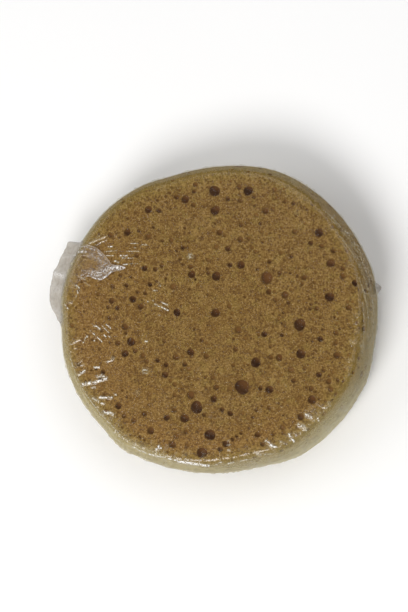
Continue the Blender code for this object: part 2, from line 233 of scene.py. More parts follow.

# %% [markdown]
# The pores are the sponge's look. They could be cut with a Boolean for each, which is slow and
# leaves ragged faces, or pushed in as dents, which blurs their rims. Here each pore's mouth is a
# loop drawn on the flat disc, a constrained triangulation fills the disc round the loops, and each
# hollow is then hung from its own mouth as rings of points. So every rim is crisp.
#
# The pores that can be told apart in the photograph are listed: x and y in mm from the
# face's middle, as the camera sees them, the mouth's width in mm, and how deep it is, from 0, a
# faint dish, to 1, a bubble. The slab leans a little away from the camera, so each place is found
# on the slab along the camera's line of sight.

# %% The pores that the photograph shows
FACE_PORES = (
    (1.7, 46.6, 4.1, 1), (2.0, 39.4, 3.6, .8), (-9.2, 43.6, 3.2, .6), (14.4, 46.7, 3.6, 1),
    (-23.1, 39.7, 2.9, .8), (-31.0, 31.2, 2.8, .8), (20.9, 39.2, 2.7, .5), (40.9, 31.0, 3.2, 1),
    (-6.8, 15.3, 2.9, .9), (2.4, 14.6, 3.4, 1), (11.7, 18.9, 3.0, .9), (-13.8, 10.7, 2.6, .3),
    (-29.0, 6.0, 2.7, .9), (-12.3, 1.0, 2.9, 1), (2.1, 0.8, 3.4, .7), (45.4, 19.6, 3.3, .6),
    (21.4, 14.0, 4.8, .35), (28.2, 7.6, 2.8, .5), (45.0, 6.9, 3.5, .9), (-31.9, -4.4, 2.6, .5),
    (-29.6, -10.0, 3.2, 1), (-31.8, -14.4, 2.8, 1), (-7.2, -13.9, 2.8, .9), (-12.7, -15.7, 2.6, .4),
    (-16.8, -22.3, 2.6, .7), (-7.2, -29.9, 3.2, .4), (-5.0, -34.6, 4.7, 1), (1.4, -31.5, 2.6, .8),
    (-9.5, -38.7, 3.4, .7), (-34.3, -34.1, 2.6, .7), (-22.2, -43.4, 2.8, .6), (0.0, -44.9, 4.1, 1),
    (-14.1, -48.6, 2.8, .5), (33.7, -3.5, 4.5, 1), (10.6, -5.5, 2.8, .3), (34.1, -14.6, 3.4, .9),
    (26.0, -16.0, 2.7, .6), (17.1, -17.8, 3.7, 1), (47.6, -15.0, 2.6, .5), (12.1, -27.0, 5.5, 1),
    (22.4, -27.9, 3.0, .8), (38.3, -31.7, 3.2, .7), (34.1, -38.2, 2.6, .6), (-3.0, -51.6, 4.0, .7),
    (54.6, 12.1, 2.6, .9), (30.5, -20.5, 2.6, .25),
    (-12.6, 44.4, 2.1, .6), (-5.9, 46.4, 1.7, .8), (-5.4, 49.0, 2.0, .5), (-6.2, 41.4, 2.0, .4),
    (-37.4, 30.1, 2.1, .5), (-23.1, 29.5, 2.4, .4), (-21.2, 33.0, 1.3, 1), (-14.5, 28.1, 2.0, .4),
    (-10.2, 25.3, 1.7, 1), (-12.5, 24.2, 1.3, .9), (-27.4, 22.5, 2.0, .5), (-24.5, 17.6, 2.3, 1),
    (-20.5, 17.2, 1.9, .6), (-18.0, 18.6, 1.7, .6), (-5.4, 13.4, 1.1, 1), (-0.6, 15.8, 1.6, .8),
    (-36.5, 10.9, 1.9, .5), (-31.3, 11.2, 1.8, .7), (-22.5, 11.5, 1.9, 1), (-24.3, 8.3, 1.7, .6),
    (-36.9, 5.4, 2.3, .6), (-26.0, 3.2, 2.4, .6), (-34.7, 2.7, 1.9, .9), (-26.7, 31.7, 1.5, .7),
    (11.0, 48.2, 2.2, .5), (11.4, 43.0, 1.9, .4), (16.6, 44.4, 1.7, .5), (24.4, 47.1, 2.0, .3),
    (23.7, 39.8, 1.7, .4), (28.2, 42.6, 1.5, .5), (31.4, 42.0, 1.7, .6), (18.9, 34.4, 1.5, .8),
    (11.7, 33.9, 1.9, .5), (3.7, 31.0, 2.3, .6), (6.7, 25.0, 2.2, .8), (11.4, 28.5, 2.3, .4),
    (14.6, 28.8, 1.7, .3), (31.8, 31.4, 1.9, .4), (37.8, 27.1, 1.9, .8), (42.0, 26.0, 2.0, .4),
    (17.1, 23.8, 1.7, .3), (7.6, 18.9, 1.9, .9), (26.2, 15.9, 1.9, .5), (22.1, 8.8, 2.2, .7),
    (24.5, 5.8, 1.9, .4), (34.6, 11.7, 1.5, .6), (49.8, 14.7, 2.2, .5), (7.3, 3.3, 1.9, .3),
    (52.1, 2.8, 2.2, .4), (-34.6, -10.5, 2.2, .5), (-28.0, -13.4, 2.0, .6), (-25.1, -15.2, 2.2, .4),
    (-23.7, -17.3, 1.9, .4), (-19.6, -17.0, 1.8, .9), (-17.1, -9.8, 1.6, .5), (-22.2, -12.7, 1.6, .3),
    (-16.5, -18.6, 2.0, .9), (-9.4, -18.4, 2.0, .6), (-1.4, -15.4, 2.2, .4), (1.1, -23.4, 1.9, .4),
    (-13.2, -26.0, 1.9, .3), (-13.2, -30.0, 1.9, .4), (-13.4, -35.7, 2.0, .5), (-16.2, -38.5, 2.4, .8),
    (-24.6, -37.0, 2.2, .6), (-28.5, -39.5, 2.2, .5), (-32.2, -37.8, 1.9, .5), (-9.1, -43.8, 1.9, .5),
    (-12.6, -45.4, 2.4, .3), (20.4, -7.2, 2.3, .9), (27.0, -7.5, 1.5, 1), (41.4, -8.9, 2.2, .9),
    (22.8, -15.8, 2.0, .4), (8.8, -18.8, 1.7, .4), (40.9, -22.3, 2.2, .8), (31.4, -24.6, 1.9, .6),
    (44.6, -24.8, 2.2, .5), (45.3, -27.8, 2.2, .4), (19.0, -27.4, 1.9, .7), (38.0, -27.6, 2.0, .6),
    (7.6, -36.9, 2.2, .8), (4.6, -35.4, 1.9, .8), (43.0, -37.2, 2.2, .3), (27.3, -42.1, 2.2, .3),
    (17.8, -44.8, 2.2, .7), (3.9, -50.4, 2.0, .7), (19.8, -48.5, 1.9, .6), (58.2, -5.3, 2.4, .8),
)
# a torn slit among them, as a short chain of joined pores
TORN_SLIT = (
    (6.0, -48.3, 2.6, .9), (8.5, -46.6, 1.5, .8), (10.1, -45.5, 1.2, .8), (11.6, -44.3, 1.3, .9),
)
print("pores placed by hand:", len(FACE_PORES) + len(TORN_SLIT))

# %% [markdown]
# Between them lie hundreds of finer pores, and the side and the underside have pores too. These
# are scattered by a seeded draw, so that each run gives the same slab. A draw is kept only if it
# leaves a wall of sponge to every pore that is already there.

# %% The scattered pores
DEEPEST = 4.0 * MM
PORE_WALL = 0.28  # mm, least wall between two mouths
TRIES_PER_PORE = 12
DEEPEST_SCATTERED = 0.76  # where 1 is a bubble
SCATTER = (
    # half, pores, least and most width in mm, how strongly small ones prevail, travel from and to
    (True, 980, 0.5, 1.35, 2.4, 0.0, 0.99),
    (True, 46, 1.3, 2.3, 1.5, 0.0, 0.99),
    (True, 330, 0.6, 1.8, 2.0, 1.0, 1.3),
    (True, 16, 2.2, 4.2, 1.0, 1.17, 1.28),
    (False, 260, 0.7, 2.2, 2.0, 0.0, 0.95),
    (False, 30, 2.4, 4.6, 1.2, 0.0, 0.9),
    (False, 230, 0.6, 1.9, 2.0, 1.0, 1.26),
    (False, 12, 2.2, 4.0, 1.0, 1.1, 1.24),
    (True, 75, 1.1, 2.0, 1.3, 0.0, 0.96),
)


def scattered_pores(draw):
    """Pores by half: rows of x, y and width in metres on the flat disc, and depth from 0 to 1."""
    pores = {True: [], False: []}
    for x, y, width, depth in FACE_PORES + TORN_SLIT:
        flat = upper_half.as_seen((x, y))[0]
        pores[True].append((flat[0], flat[1], width * MM, depth))
    for upper, count, least, most, lean, start, stop in SCATTER:
        half = upper_half if upper else lower_half
        taken = pores[upper]
        goal, tries = len(taken) + count, 0
        while len(taken) < goal and tries < count * TRIES_PER_PORE:
            tries += 1
            bearing = draw.uniform(0, 360)
            flat_end = float(half.flat_end(np.array([bearing]))[0])
            travel = flat_end * math.sqrt(draw.uniform(start**2, stop**2))
            width = (least + (most - least) * draw.random() ** lean) * MM
            x, y = (float(v) for v in half.laid_out(bearing, travel))
            near = np.array(taken) if taken else np.zeros((0, 4))
            apart = np.hypot(near[:, 0] - x, near[:, 1] - y) - (near[:, 2] + width) / 2
            room = half.edge(np.array([bearing]))[0] - travel
            if (apart.size and apart.min() < PORE_WALL * MM) or room < width:
                continue
            taken.append((x, y, width, draw.uniform(0.0, DEEPEST_SCATTERED)))
    return {upper: np.array(rows) for upper, rows in pores.items()}


pores = scattered_pores(random.Random(5))
print("pores above and below:", len(pores[True]), len(pores[False]))

# %% [markdown]
# A lattice of loose points fills the disc between the pores. It is close where the eye looks, on
# the face, and wider on the side and underneath, which keeps the mesh under 200,000 triangles.
# Each point is nudged, because a real crumb has no rows, and a little relief of noise roughens it.

# %% Helpers that make a mesh of the flat disc
RIM_POINTS = 520
LATTICE_REACH = 74 * MM


def even(flat, _):
    return np.ones(len(flat), int)


def lattice(half, step, level_at, draw, jitter):
    """Loose points on a half's disc. level_at tells where only each 2nd, 4th or 8th row is kept."""
    count = int(LATTICE_REACH / step)
    row, column = np.meshgrid(np.arange(-count, count + 1), np.arange(-count, count + 1))
    row, column = row.ravel(), column.ravel()
    flat = np.stack([column * step + (row % 2) * step / 2, row * step * 0.866], -1)
    inside = np.hypot(flat[:, 0], flat[:, 1]) < half.edge(bearings_of(flat)) - 0.4 * step
    flat, row, column = flat[inside], row[inside], column[inside]
    level = level_at(flat, half)
    # a coarser level also keeps only the points that stagger along its rows
    kept = (row % level == 0) & ((column + (row // level % 2) * (level // 2)) % level == 0)
    flat, level = flat[kept], level[kept]
    return flat + (draw.random(flat.shape) - 0.5) * jitter * step * level[:, None]


def rim_loop(half):
    bearing = np.arange(RIM_POINTS) * 360.0 / RIM_POINTS
    return half.laid_out(bearing, half.edge(bearing))


def filled(loop, holes, loose):
    """Fills a loop on the disc with triangles, round its holes and through loose points.

    Returns the points, the triangles, and the points' numbers round the loop and round each hole.
    """
    rings, first = [], 0
    for ring in (loop, *holes):
        rings.append(range(first, first + len(ring)))
        first += len(ring)
    # the triangulation works in mm, where its tolerance suits
    laid, _, triangles, came_from, _, in_hole = delaunay_2d_cdt(
        [Vector(p) for p in np.concatenate([loop, *holes, loose]) / MM],
        [(i, (i + 1) % len(loop)) for i in rings[0]],
        [list(ring) for ring in rings[1:]], 1, 1e-5,
    )
    place = {old: new for new, olds in enumerate(came_from) for old in olds}
    faces = [face for face, owner in zip(triangles, in_hole) if not owner]
    return np.array(laid) * MM, faces, [[place[i] for i in ring] for ring in rings]


def noise_at(points, size, octaves=1, shift=0.0):
    """Smooth noise from about -1 to 1 at points in space, with features of a size in mm."""
    scale = 1 / (size * MM)
    place = Vector((shift, -shift, shift * 0.5))
    values = np.zeros(len(points))
    for index, point in enumerate(points):
        at = Vector(point) * scale + place
        for octave in range(octaves):
            values[index] += noise.noise(at * 2.0**octave) * 0.5**octave
    return values


def smooth_step(low, high, value):
    share = np.clip((value - low) / (high - low), 0, 1)
    return share * share * (3 - 2 * share)


def store(data, label, values):
    """Keeps a value for each point of a mesh under a name, for the finishes to read."""
    layer = data.attributes.new(label, "FLOAT", "POINT")
    layer.data.foreach_set("value", np.array(values, np.float32))


def mesh_object(name, points, faces, looks, materials, material_of=None):
    """A smooth object from arrays of points and of triangles, with named values at its points."""
    # points that no triangle uses are left out
    used, faces = np.unique(np.array(faces), return_inverse=True)
    data = bpy.data.meshes.new(name)
    data.from_pydata(np.array(points)[used].tolist(), [], faces.reshape(-1, 3).tolist())
    data.validate()
    for label, values in looks.items():
        store(data, label, np.array(values)[used])
    for material in materials:
        data.materials.append(bpy.data.materials.get(material) or bpy.data.materials.new(material))
    if material_of is not None:
        data.polygons.foreach_set("material_index", np.asarray(material_of, np.int32))
    data.shade_smooth()
    print(name, len(data.vertices), "points,", len(data.polygons), "triangles")
    return add_object(name, data)


def sewn_on(faces, own_rim, shared_rim, count):
    """The lower half's triangles, numbered on from the upper half's points, and sharing its rim."""
    number = dict(zip(own_rim, shared_rim))
    return [tuple(number.get(i, i + count) for i in face) for face in faces]


# %% [markdown]
# The sponge is made as two halves that share the points of their rim. Each pore hangs from its
# mouth as one to three rings of points and a last point at the bottom. Its walls are marked with a
# material of their own, and every point keeps its depth in a hollow and its way past the face's
# edge, for the finishes to read.

# %% The sponge's mesh
SPONGE_INSET = 0.6 * MM
SPONGE_STEP = 0.56 * MM
RELIEF = 0.13 * MM
GRAIN_SIZE = 0.9  # mm
MOUTH_SIDE_ABOVE = 0.46 * MM
MOUTH_SIDE_BELOW = 0.8 * MM
MOUTH_MARGIN = 0.1 * MM
# the colour of depth is painted shade, full at this depth
FULL_DEPTH = 2.4 * MM  # a hollow this deep has the full colour of depth
DISH_DEPTH = 0.25  # in widths of its mouth
BUBBLE_MORE = 0.65  # how much deeper a bubble is, in the same
HOLLOW_LEAN = 0.12
UNDERSIDE_PAST = 20 * MM  # the underside counts as this far past the face's edge
# the rings of a hollow, by the mouth's width in mm: share of its depth, share of its mouth's radius
BUBBLES = (
    (1.0, ((0.5, 1.0),)),
    (1.6, ((0.35, 0.97), (0.8, 0.72))),
    (99, ((0.15, 0.97), (0.55, 1.0), (0.85, 0.66))),
)


def sponge_spacing(flat, half):
    fine = half.upper & (half.past_edge(flat) < 3 * MM)
    return np.where(fine, 1, 2)


def mouth_loop(x, y, width, turn, side):
    """A pore's mouth on the disc: a circle that is a little out of round."""
    sides = int(np.clip(math.pi * width / side, 6, 22))
    angle = turn + np.arange(sides) * 2 * math.pi / sides
    wobble = 1 + 0.05 * np.sin(2 * angle + turn * 7) + 0.035 * np.sin(3 * angle + turn * 13)
    radius = width / 2 * wobble
    return np.stack([x + radius * np.cos(angle), y + radius * np.sin(angle)], -1)


def sponge_half(half, rows, draw):
    """Points, triangles, and at each point its depth in a hollow and its way past the face's edge.

    With them come the flags of the triangles that are pore walls, and the numbers round the rim."""
    loose = lattice(half, SPONGE_STEP, sponge_spacing, draw, 0.55)
    side = MOUTH_SIDE_ABOVE if half.upper else MOUTH_SIDE_BELOW
    loops = [mouth_loop(x, y, width, draw.random() * 6.28, side) for x, y, width, _ in rows]
    for x, y, width, _ in rows:
        away = np.hypot(loose[:, 0] - x, loose[:, 1] - y)
        loose = loose[away > width / 2 * 1.08 + MOUTH_MARGIN]
    laid, faces, (rim, *mouths) = filled(rim_loop(half), loops, loose)
    relief = noise_at(half.point(laid, SPONGE_INSET), GRAIN_SIZE, 2) * RELIEF
    points = list(half.point(laid, SPONGE_INSET + 0.5 * RELIEF - relief))
    hollow = [0.0] * len(points)
    open_faces = len(faces)
    middles = half.point(rows[:, :2], SPONGE_INSET)
    inwards = -half.outward(rows[:, :2], SPONGE_INSET)
    for (_, _, width, share), mouth, middle, inward in zip(rows, mouths, middles, inwards):
        depth = min(width * (DISH_DEPTH + BUBBLE_MORE * share), DEEPEST)
        down_way = inward + [draw.uniform(-HOLLOW_LEAN, HOLLOW_LEAN) for _ in range(3)]
        around = np.array([points[index] for index in mouth])
        for down, spread in next(rings for most, rings in BUBBLES if width < most * MM):
            spread = spread * (1 - 0.45 * (1 - share) * down)
            lower = range(len(points), len(points) + len(mouth))
            points += list(middle + (around - middle) * spread + down_way * depth * down)
            hollow += [min(depth * down / FULL_DEPTH, 1.0)] * len(mouth)
            for i, a in enumerate(mouth):
                j = (i + 1) % len(mouth)
                faces += [(a, mouth[j], lower[j]), (a, lower[j], lower[i])]
            mouth = lower
        faces += [(a, mouth[(i + 1) % len(mouth)], len(points)) for i, a in enumerate(mouth)]
        points.append(around.mean(0) + down_way * depth)
        hollow.append(min(depth / FULL_DEPTH, 1.0))
    past = np.concatenate([half.past_edge(laid), np.zeros(len(points) - len(laid))])
    if not half.upper:
        faces = [face[::-1] for face in faces]
        past[:] = UNDERSIDE_PAST
    return np.array(points), faces, hollow, past, np.arange(len(faces)) >= open_faces, rim


def make_sponge():
    draw = np.random.default_rng(8)
    points, faces, hollow, past, wall, rim = sponge_half(upper_half, pores[True], draw)
    more = sponge_half(lower_half, pores[False], draw)
    faces = faces + sewn_on(more[1], more[5], rim, len(points))
    points = np.concatenate([points, more[0]])
    looks = {"hollow": hollow + more[2], "past_edge": np.concatenate([past, more[3]]) / MM}
    finishes = ["sponge_crumb", "pore_wall"]
    return mesh_object("sponge_slab", points, faces, looks, finishes, np.concatenate([wall, more[4]]))


sponge = make_sponge()

# %% [markdown]
# Stretch film has almost no thickness, so here it is one smooth skin, close over the sponge. Where
# it is drawn over the edge it gathers into small ridges, and where it lies in many layers it turns
# milky. Both are told by strokes on the flat disc: a stroke lifts the skin into a ridge, and it
# whitens it. Those that the photograph shows are listed, in mm from the face's middle.
# The whitening is partly the film's milky crumple and partly painted highlight and glints.

# %% The film's folds that the photograph shows
# x and y of each point of a stroke in turn, then its half-width and lift in mm, and its whiteness,
# which is partly milky crumpled film and partly painted highlight, and over 1 for a painted glint
FACE_FOLDS = (
    # lower left, drawn up over the edge
    (-49.2, -22.3, -46.9, -20.9, .4, .3, .95), (-43.3, -19.6, -41.3, -19.6, .3, .25, .8),
    (-48.2, -26, -43.5, -25.2, -38.7, -23.8, .52, .35, .9),
    (-42.4, -23, -40.4, -22.6, -38.9, -23.4, .42, .25, .85), (-44.3, -27.1, -42.8, -27.1, .28, .25, .9),
    (-43.6, -31.2, -41.8, -32.2, .55, .3, .6), (-41.5, -30.9, -36.8, -31, .4, .35, .9),
    (-40.6, -33.2, -39.5, -33.2, .35, .25, .95), (-42.7, -34.5, -41.7, -34.3, .3, .25, .6),
    (-41.2, -37.4, -40, -37.4, .34, .3, .95), (-39.7, -36.3, -38.2, -36.7, .52, .3, .9),
    (-37.3, -36.7, -36.4, -37.3, .5, .3, .95), (-38.7, -17.6, -36, -16.6, .28, .2, .5),
    (-50.4, -19.2, -47.9, -17.1, .18, .2, .5), (-35.8, -29.6, -35, -29.9, .28, .2, .5),
    # single painted glints on the face
    (-23.1, -20.1, -22.8, -20.5, .3, .1, 1.5), (-24.5, -21.2, -24.2, -21, .24, .1, 1.2),
    (-22.4, -24.9, -22.1, -24.7, .3, .1, 1.5), (-27.8, -28.5, -25.8, -28.4, .28, .12, 1.1),
    (-11.2, -26.3, -10.8, -26.5, .26, .1, 1.5), (-16.6, -31, -16.2, -31, .5, .1, .8),
    (-20.2, -50.4, -18.2, -49.9, .34, .2, 1.2), (-19.3, -50.6, -19.1, -49, .28, .2, 1.2),
    (-24, -9.8, -23.6, -9.8, .36, .1, .85), (-19, .1, -18.8, .1, .24, .1, 1.2),
    (-9.4, 24.4, -8.6, 23.6, .2, .12, .85), (-7.6, 22.9, -6.4, 21.4, .22, .12, .9),
    (32.6, 39.2, 32.9, 38.9, .22, .1, .8),
    # the lower rim, whitened mostly as painted highlights
    (-29.3, -49.2, -26.3, -50.9, -22.6, -52.2, .45, .2, .75),
    (-22.6, -52.2, -15.9, -53.8, -11.5, -54.9, .5, .25, .85),
    (-11.5, -55, -3.8, -56.3, -.4, -56.6, .75, .3, 1.2), (2.6, -56.2, 4.4, -55.3, .55, .25, .75),
    (6.4, -56, 8.8, -55.4, .6, .25, .75), (11.6, -54.9, 14.4, -54.2, .5, .2, .6),
    (18, -52.6, 22.9, -52.1, .6, .2, .45), (6.7, -47.2, 7.8, -47.2, .2, .15, .8),
    (6.7, -48.6, 7.7, -48.6, .2, .15, .75), (6.7, -50.5, 7.6, -50.5, .2, .15, .75),
    (6.6, -52.5, 7.5, -52.5, .2, .15, .75),
    # lower right, drawn up over the edge
    (36, -37.2, 38, -38.4, .45, .35, .9), (40.5, -38.2, 41, -40, .32, .3, .7),
    (33.5, -41.1, 35, -41.8, 36.4, -43.1, .7, .35, .65),
    (29.9, -44.7, 30.6, -46, 31.7, -47.6, .42, .4, .95),
    (21.3, -47.2, 23, -48.8, 25, -49.7, .55, .4, .9), (26.6, -47.6, 29, -48.4, .4, .3, .55),
    (44.4, -32.8, 45.3, -34.2, .4, .25, .35),
    # upper left, taut lines beside the folded tongue
    (-37.8, 25.7, -36.5, 25.7, .24, .12, 1), (-39.5, 23.7, -34.7, 24.3, .15, .1, .6),
    (-38.7, 22.3, -36.1, 22.3, .15, .1, .8), (-33.6, 22.3, -30.8, 22.3, .22, .12, 1),
    (-33.2, 21.4, -28.7, 21.4, .17, .1, .7), (-31.1, 23.9, -26.3, 23.9, .16, .1, .65),
    (-29.6, 26.9, -27.1, 26.9, .16, .1, .6), (-25.6, 26.4, -23.6, 26.3, .16, .1, .6),
    (-28.2, 25.2, -27.8, 25.2, .2, .1, .5), (-35.6, 20.3, -34.2, 19.8, .3, .12, .75),
    (-32.3, 19, -30.8, 19, .22, .12, .75), (-29.9, 19.3, -27, 19.3, .15, .1, .45),
    (-46, 26.4, -42.1, 28.3, -38.8, 29.6, .3, .25, .35), (-42.6, 26.4, -38.4, 28.5, .24, .2, .3),
    (-44.5, 27.6, -41, 30, .24, .2, .25),
    # fans of fine creases on the left of the face
    (-48.3, 14.2, -46.4, 13, .2, .15, .45), (-50.2, 11.3, -48.8, 10.1, .22, .15, .65),
    (-51.4, 11.8, -48.3, 8.9, .18, .15, .4), (-49.5, 9.2, -49.4, 8.2, .22, .15, .75),
    (-47, 12.2, -45, 11, .18, .15, .4), (-49.8, 7.4, -50.6, 5.8, .2, .15, .35),
    (-43.3, -3.8, -41.1, -5.3, .34, .15, .9), (-38.7, -3.5, -36.9, -5.1, .22, .12, 1),
    (-40.2, -4.1, -37.7, -6.8, .18, .12, .7), (-44.7, -5.9, -40.4, -10, .18, .12, .8),
    (-39.8, -7.3, -38.7, -8.3, .22, .12, .8), (-37.8, -8, -37.1, -8.1, .24, .1, .75),
    (-46, -8, -45.8, -8.1, .26, .1, .95), (-46.1, -8.1, -47.6, -10.6, .18, .12, .7),
    (-43.2, -9.6, -43, -9.6, .26, .1, .95), (-20.6, 4.1, -15.6, 1.8, .26, .12, .85),
    (-18, 4.7, -15.9, 3.8, .24, .12, .8), (-21.2, 9.2, -19.8, 9.2, .26, .1, .5),
    (-18.8, 11, -18.6, 11, .25, .1, .95), (-21.3, 5.4, -21.1, 5.4, .22, .1, .75),
    (-23.2, 5.1, -23, 5.1, .22, .1, .75), (-9.4, 20.8, -9.2, 20.8, .22, .1, .75),
    (-54.4, 4, -53, 2.2, .35, .2, .65),
)
# bearing and mm past the face's edge of each point in turn, then as above: long folds round the
# right rim, and the film's layers at the lower left
RIM_FOLDS = (
    (42, 3.5, 30, 6, 18, 8.5, 11, 12, .55, .55, .2), (37, 6.5, 25, 9, 14, 12.5, .5, .5, .15),
    (30, 2, 20, 4.5, 12, 6.5, 0, 9.5, -12, 11, .45, .5, .3),
    (13, 2.5, 8, 4.2, 2, 6.5, -8, 8.5, .4, .45, .35), (6, 10.5, -5, 12.5, -17, 13, .55, .5, .3),
    (40, 4.5, 29, 7.5, 20, 10.5, .2, .3, .55), (24, 7, 12, 9.5, 1, 11, .22, .3, .55),
    (4, 3.5, -6, 5.5, -15, 7, .2, .25, .5), (-8, 9.5, -20, 10.5, -31, 10, .22, .25, .45),
    (196, 1.2, 208, 1.6, 221, 1.3, 236, 1, .3, .2, .55),
    (203, 3, 215, 3.6, 229, 3.2, 244, 2.2, .28, .2, .4),
    (232, 5, 243, 3.6, 252, 4.2, 262, 5.5, .35, .25, .45),
)
print("folds placed by hand:", len(FACE_FOLDS) + len(RIM_FOLDS))

# %% [markdown]
# The rest of the folds are scattered: short ridges across the shoulder all round, more at the lower
# left and right where the film was pulled hardest, creases down the side, and gathers underneath
# that all run towards the slit where the film's edges meet.

# %% All the film's folds as segments
SLIT_MIDDLE = (0.0, -24.0)
SLIT_SIZE = (36.0, 3.6)
SLIT_SIDES = 60
SHOULDER_TRIES = 150
SIDE_FOLDS_ABOVE = 130
SIDE_FOLDS_BELOW = 170
GATHERS = 120
# bearing, and how hard the film was pulled there, from 0 to 1
PULL = ((0, .5), (60, .25), (110, .25), (150, .5), (200, 1), (235, .9), (265, .6), (305, 1), (340, .6))


def segments_of(line, width, lift, white_and_glint):
    """Rows of x1, y1, x2, y2, half-width, lift and whiteness, in metres, for one stroke."""
    return [[*a, *b, width * MM, lift * MM, white_and_glint] for a, b in zip(line, line[1:])]


def segments_in(table, lay):
    """The same for a table of strokes. lay turns a stroke's pairs of numbers into flat points."""
    rows = []
    for *pairs, width, lift, white_and_glint in table:
        rows += segments_of(lay(np.reshape(pairs, (-1, 2))), width, lift, white_and_glint)
    return rows


def fold_segments(draw):
    """All strokes above and below, as arrays of segments."""
    above = segments_in(FACE_FOLDS, upper_half.as_seen)
    above += segments_in(RIM_FOLDS, lambda pairs: upper_half.beyond(pairs[:, 0], pairs[:, 1] * MM))
    below = []
    # short ridges across the shoulder
    for _ in range(SHOULDER_TRIES):
        bearing = draw.uniform(0, 360)
        pull = float(closed_curve(PULL, np.array([bearing]))[0])
        if draw.random() > pull:
            continue
        start, length = draw.uniform(-5, 2) * pull, draw.uniform(4, 11)
        ends = np.array([bearing, bearing + draw.uniform(-2.5, 2.5)])
        line = upper_half.beyond(ends, np.array([start, start + length]) * MM)
        above += segments_of(line, draw.uniform(.3, .6), draw.uniform(.12, .34), draw.uniform(0, .16))
    # creases down the side
    sides = (upper_half, above, SIDE_FOLDS_ABOVE), (lower_half, below, SIDE_FOLDS_BELOW)
    for half, rows, count in sides:
        for _ in range(count):
            bearing = draw.uniform(0, 360)
            ends = np.array([bearing, bearing + draw.uniform(-2, 2)])
            top = draw.uniform(3, 12)
            travel = half.flat_end(ends) + np.array([top, top + draw.uniform(6, 14)]) * MM
            line = half.laid_out(ends, np.minimum(travel, half.edge(ends)))
            sizes = draw.uniform(.35, .8), draw.uniform(.1, .35), draw.uniform(.05, .3)
            rows += segments_of(line, *sizes)
    # gathers underneath, that run to the slit
    middle = np.array(SLIT_MIDDLE) * MM
    for _ in range(GATHERS):
        start = lower_half.beyond(np.array([draw.uniform(0, 360)]), 3 * MM)[0]
        along = np.array([draw.uniform(-.48, .48) * SLIT_SIZE[0] * MM, 0])
        stop = start + (middle + along - start) * draw.uniform(.45, .93)
        sizes = draw.uniform(.3, .7), draw.uniform(.08, .24), draw.uniform(.1, .4)
        below += segments_of([start, stop], *sizes)
    return np.array(above), np.array(below)


folds_above, folds_below = fold_segments(random.Random(21))
print("fold segments above and below:", len(folds_above), len(folds_below))

# %% [markdown]
# Each point of the skin asks every stroke how near it is. The strokes' lifts are summed up softly,
# so that crossing folds don't tower, and the whitest stroke wins.

# %% The film's skin
FILM_INSET = 0.3 * MM
FILM_STEP = 0.23 * MM
WAVE_SIZE = 7.0  # mm
WAVE = 0.07  # mm
MOST_LIFT_BELOW = 0.24 * MM
NUB_MILK = 0.85
MILK = (
    # bearing, milkiness of the side, where it starts and is full in mm past the face's edge
    (0, .24, 8, 16), (25, .10, 8, 16), (60, .01, 2, 9), (95, .04, 0, 7), (130, .08, -1, 6),
    (150, .30, 0, 6), (165, .42, 0, 6), (184, .27, -1, 4), (200, .37, -1, 3), (225, .46, -2.5, 4),
    (246, .46, -2, 4), (262, .46, 1, 5), (280, .50, -1, 13), (300, .68, -4, 18), (322, .66, -4, 18),
    (343, .36, 5, 18),
)
# places with hair-fine creases, in mm: left, low, width and height
HATCHED = (
    (-49, 18, 27, 13), (-57, 3, 12, 13), (-46, -12, 11, 11), (-24, -3, 12, 13), (-50, -39, 16, 23),
)
TAIL_BEARINGS = (150.0, 152.6, 172.0, 184.0)
TAIL_REACH = 5.0
TAIL_HEIGHT = 20.0
TAIL_HALF_HEIGHT = 9.0
# the nub's bearing and half-width in degrees, then its height, half-height and reach in mm
NUB = (10.0, 2.6, 13.0, 4.2, 2.2)


def bell(distance, half_width):
    return np.clip(1 - (distance / half_width) ** 2, 0, 1) ** 2


def strokes_at(flat, segments):
    """Lift in metres and whiteness from 0 to 1, with painted highlights, that strokes give flat points.
    """
    raised, white_and_glint = np.zeros(len(flat)), np.zeros(len(flat))
    for x1, y1, x2, y2, width, lift, paint in segments:
        reach = 3 * width
        near = (flat[:, 0] > min(x1, x2) - reach) & (flat[:, 0] < max(x1, x2) + reach)
        near &= (flat[:, 1] > min(y1, y2) - reach) & (flat[:, 1] < max(y1, y2) + reach)
        at = flat[near]
        along = np.array([x2 - x1, y2 - y1])
        share = ((at - [x1, y1]) @ along) / max(along @ along, 1e-12)
        share = np.clip(share, 0, 1)
        away = np.hypot(*(at - np.array([x1, y1]) - share[:, None] * along).T)
        ridge = np.exp(-((away / width) ** 2))
        raised[near] = np.hypot(raised[near], lift * ridge)
        white_and_glint[near] = np.maximum(white_and_glint[near], paint * ridge)
    return raised, white_and_glint


def milk_of_side(flat):
    bearing = bearings_of(flat)
    rows = np.array(MILK)
    amount, start, full = (closed_curve(rows[:, [0, column]], bearing) for column in (1, 2, 3))
    past = upper_half.past_edge(flat) / MM
    return amount * smooth_step(start, full, past)


def film_spacing(flat, half):
    """Lattice levels: close points where the folds are fine, at the left and along the lower rim."""
    if not half.upper:
        return np.full(len(flat), 4)
    x, y = flat.T / MM
    fine = np.zeros(len(flat), bool)
    for left, low, wide, high in HATCHED:
        fine |= (x > left) & (x < left + wide) & (y > low) & (y < low + high)
    past = half.past_edge(flat) / MM
    bearing = np.mod(bearings_of(flat), 360)
    # the gathered rim at the left and below, the right rim's folds, and the creases on the face
    rim = (past > -14) & (past < 8) & (bearing > 140) & (bearing < 325)
    right = (past > -1) & ((bearing < 46) | (bearing > 338))
    lines = (x < -14) & (x > -52) & (y > -12) & (y < 31)
    return np.where(fine, 1, np.where(rim | right | lines, 2, np.where(past > 0, 4, 8)))


def bulge(bearing, height):
    """How far the nub stands out, in mm."""
    middle, half_width, level, half_height, reach = NUB
    return bell(bearing - middle, half_width) * bell(height - level, half_height) * reach


